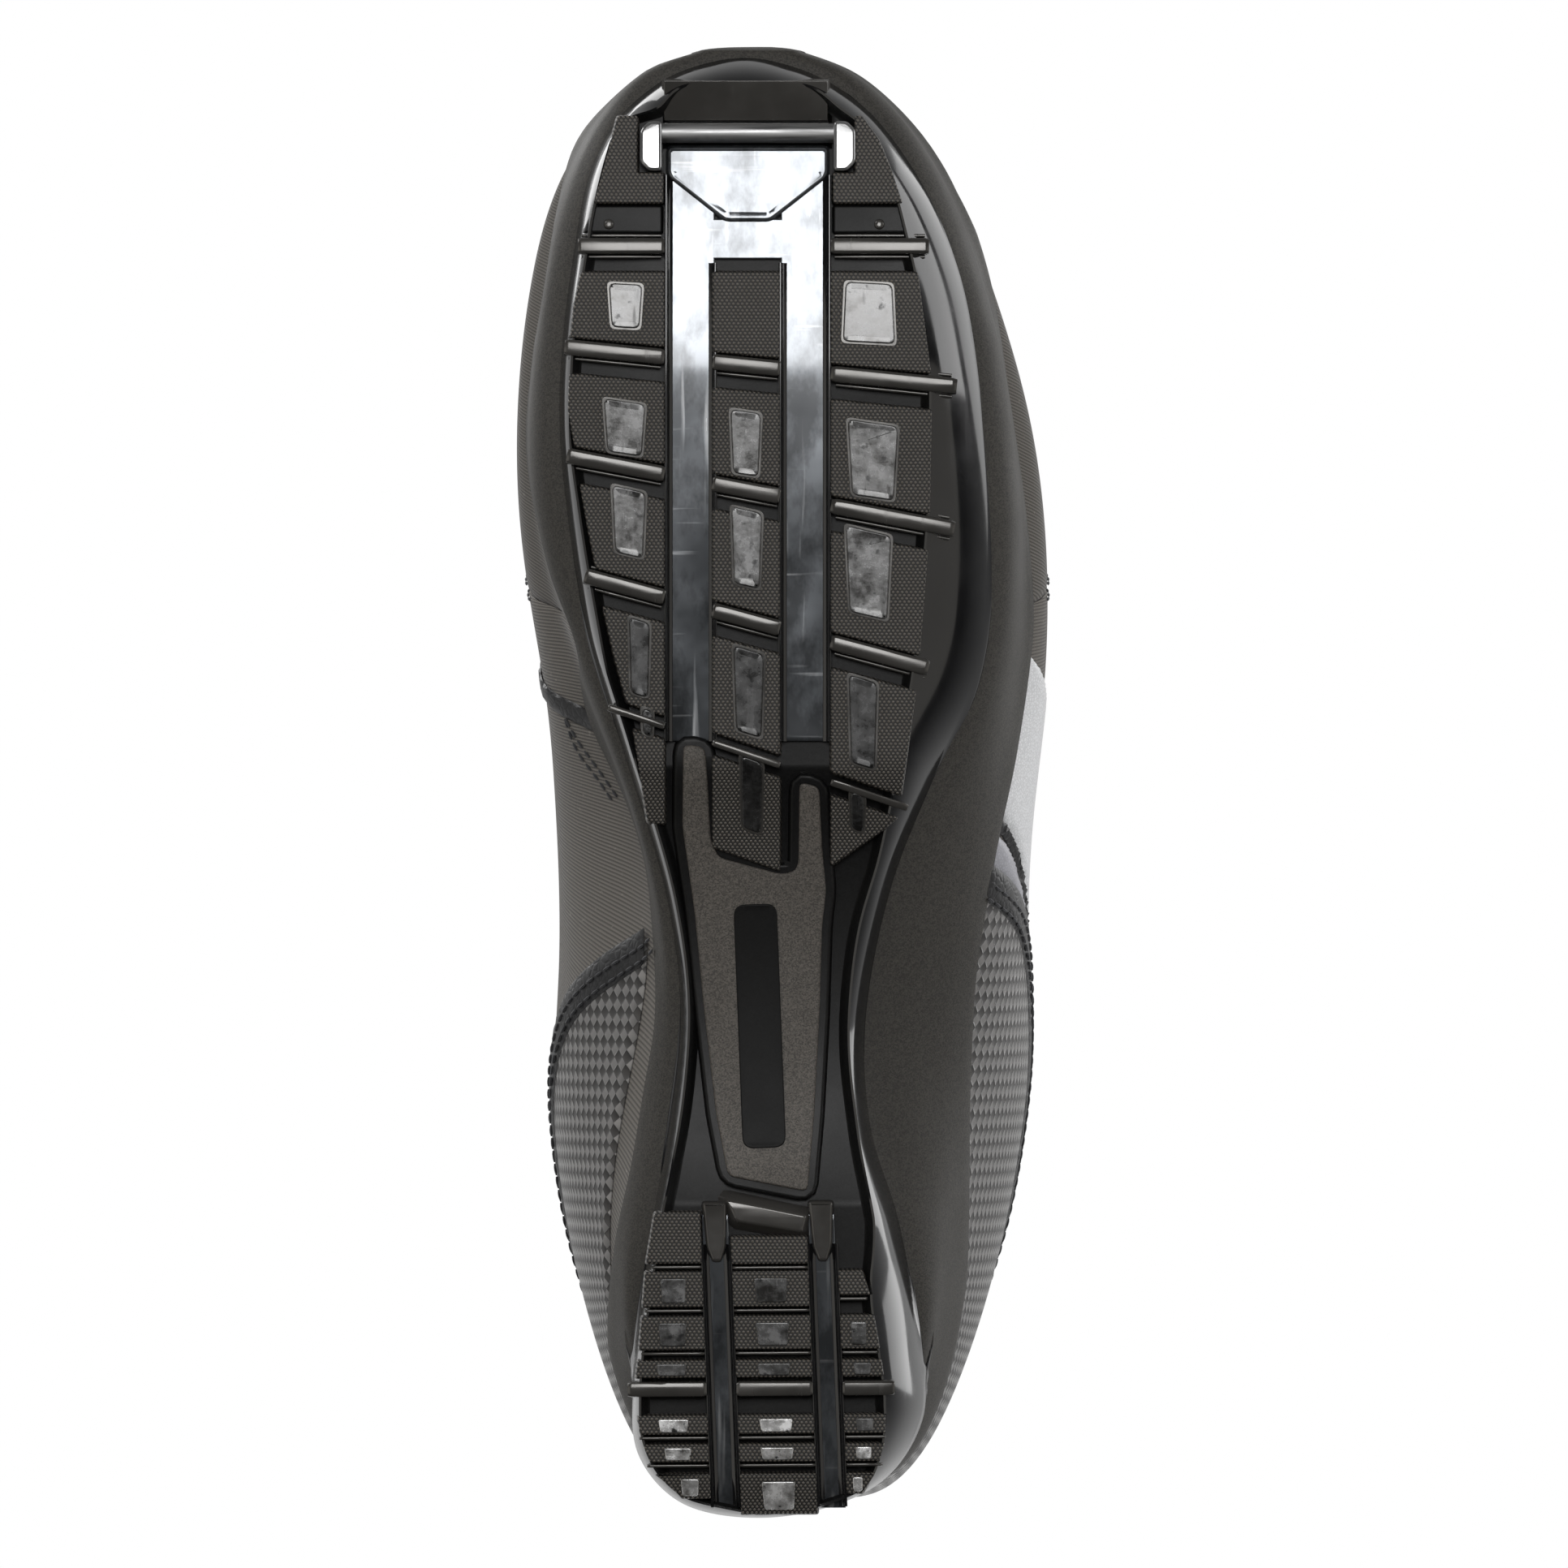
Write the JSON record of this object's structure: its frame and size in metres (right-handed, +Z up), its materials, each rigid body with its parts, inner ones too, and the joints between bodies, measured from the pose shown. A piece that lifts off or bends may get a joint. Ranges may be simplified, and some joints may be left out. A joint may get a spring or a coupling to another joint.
{
  "type": "cross country ski boot",
  "caption": "Left touring ski boot with a toe-bar sole, two guide grooves, a zipped lace cover and an ankle strap.",
  "frame": {"origin": "on the ground, under the centre of the boot's bounding box", "axes": "+Z up, +Y from the toe to the heel, +X to the outer (lateral) side of this left boot"},
  "size_m": [0.1087, 0.2998, 0.1716],
  "materials": {
    "sole_plastic": "gloss",
    "guide_plastic": "high gloss",
    "shank_grey": "speckled matte",
    "badge_black": "gloss",
    "steel": "satin",
    "tread_rubber": "fine woven texture",
    "softshell": "ribbed weave",
    "cover_softshell": "smooth stretch weave",
    "fibre_board": "matte",
    "stiffener": "matte",
    "padding_fabric": "knit",
    "collar_knit": "knit",
    "rand_coating": "matte",
    "woven_composite": "pearly diamond weave",
    "overlay_black": "satin",
    "white_film": "matte",
    "silver_film": "satin",
    "webbing": "woven",
    "strap_webbing": "woven",
    "hook_tape": "napped",
    "zip_plastic": "satin",
    "dark_metal": "satin"
  },
  "bodies": {
    "boot": {"sole_body": "sole_plastic", "groove_guide_plate": "guide_plastic", "toe_plate": "guide_plastic", "heel_guide_plate": "guide_plastic", "shank_plate": "shank_grey", "badge_inlay": "badge_black", "binding_bar": "steel", "forefoot_tread_medial": "tread_rubber", "forefoot_tread_centre": "tread_rubber", "forefoot_tread_lateral": "tread_rubber", "heel_tread_medial": "tread_rubber", "heel_tread_centre": "tread_rubber", "heel_tread_lateral": "tread_rubber", "vamp": "softshell", "lateral_quarter": "softshell", "medial_quarter": "softshell", "lasting_board": "fibre_board", "toe_puff": "stiffener", "heel_counter": "stiffener", "tongue": "padding_fabric", "lining": "padding_fabric", "footbed": "padding_fabric", "collar": "collar_knit", "rand": "rand_coating", "lateral_heel_panel": "woven_composite", "medial_heel_panel": "woven_composite", "heel_tab": "overlay_black", "lateral_eyestay": "overlay_black", "medial_eyestay": "overlay_black", "white_stripe": "white_film", "silver_stripe": "silver_film", "laces": "webbing", "lace_cover": "cover_softshell", "lateral_zip_tape": "webbing", "medial_zip_tape": "webbing", "zip_teeth": "zip_plastic", "strap_ring": "dark_metal", "strap_anchor": "strap_webbing", "strap_loop_patch": "hook_tape", "heel_pull_loop": "webbing"},
    "zip_slider": {"zip_slider": "dark_metal"},
    "zip_pull": {"zip_pull": "dark_metal"},
    "ankle_strap": {"ankle_strap": "strap_webbing", "strap_hook_patch": "hook_tape"}
  },
  "joints": [
    {"name": "zip_slide", "type": "slide", "parent": "boot", "child": "zip_slider", "axis": [0, -0.8727, -0.4883], "range_m": [0, 0.038]},
    {"name": "zip_pull_hinge", "type": "hinge", "parent": "zip_slider", "child": "zip_pull", "pos_m": [0, -0.0174, 0.10898], "axis": [-1, 0, 0], "range_deg": [0, 100]},
    {"name": "ankle_strap_hinge", "type": "hinge", "parent": "boot", "child": "ankle_strap", "pos_m": [0.04013, 0.02867, 0.12148], "axis": [0, 0.342, 0.9397], "range_deg": [0, 100]}
  ]
}
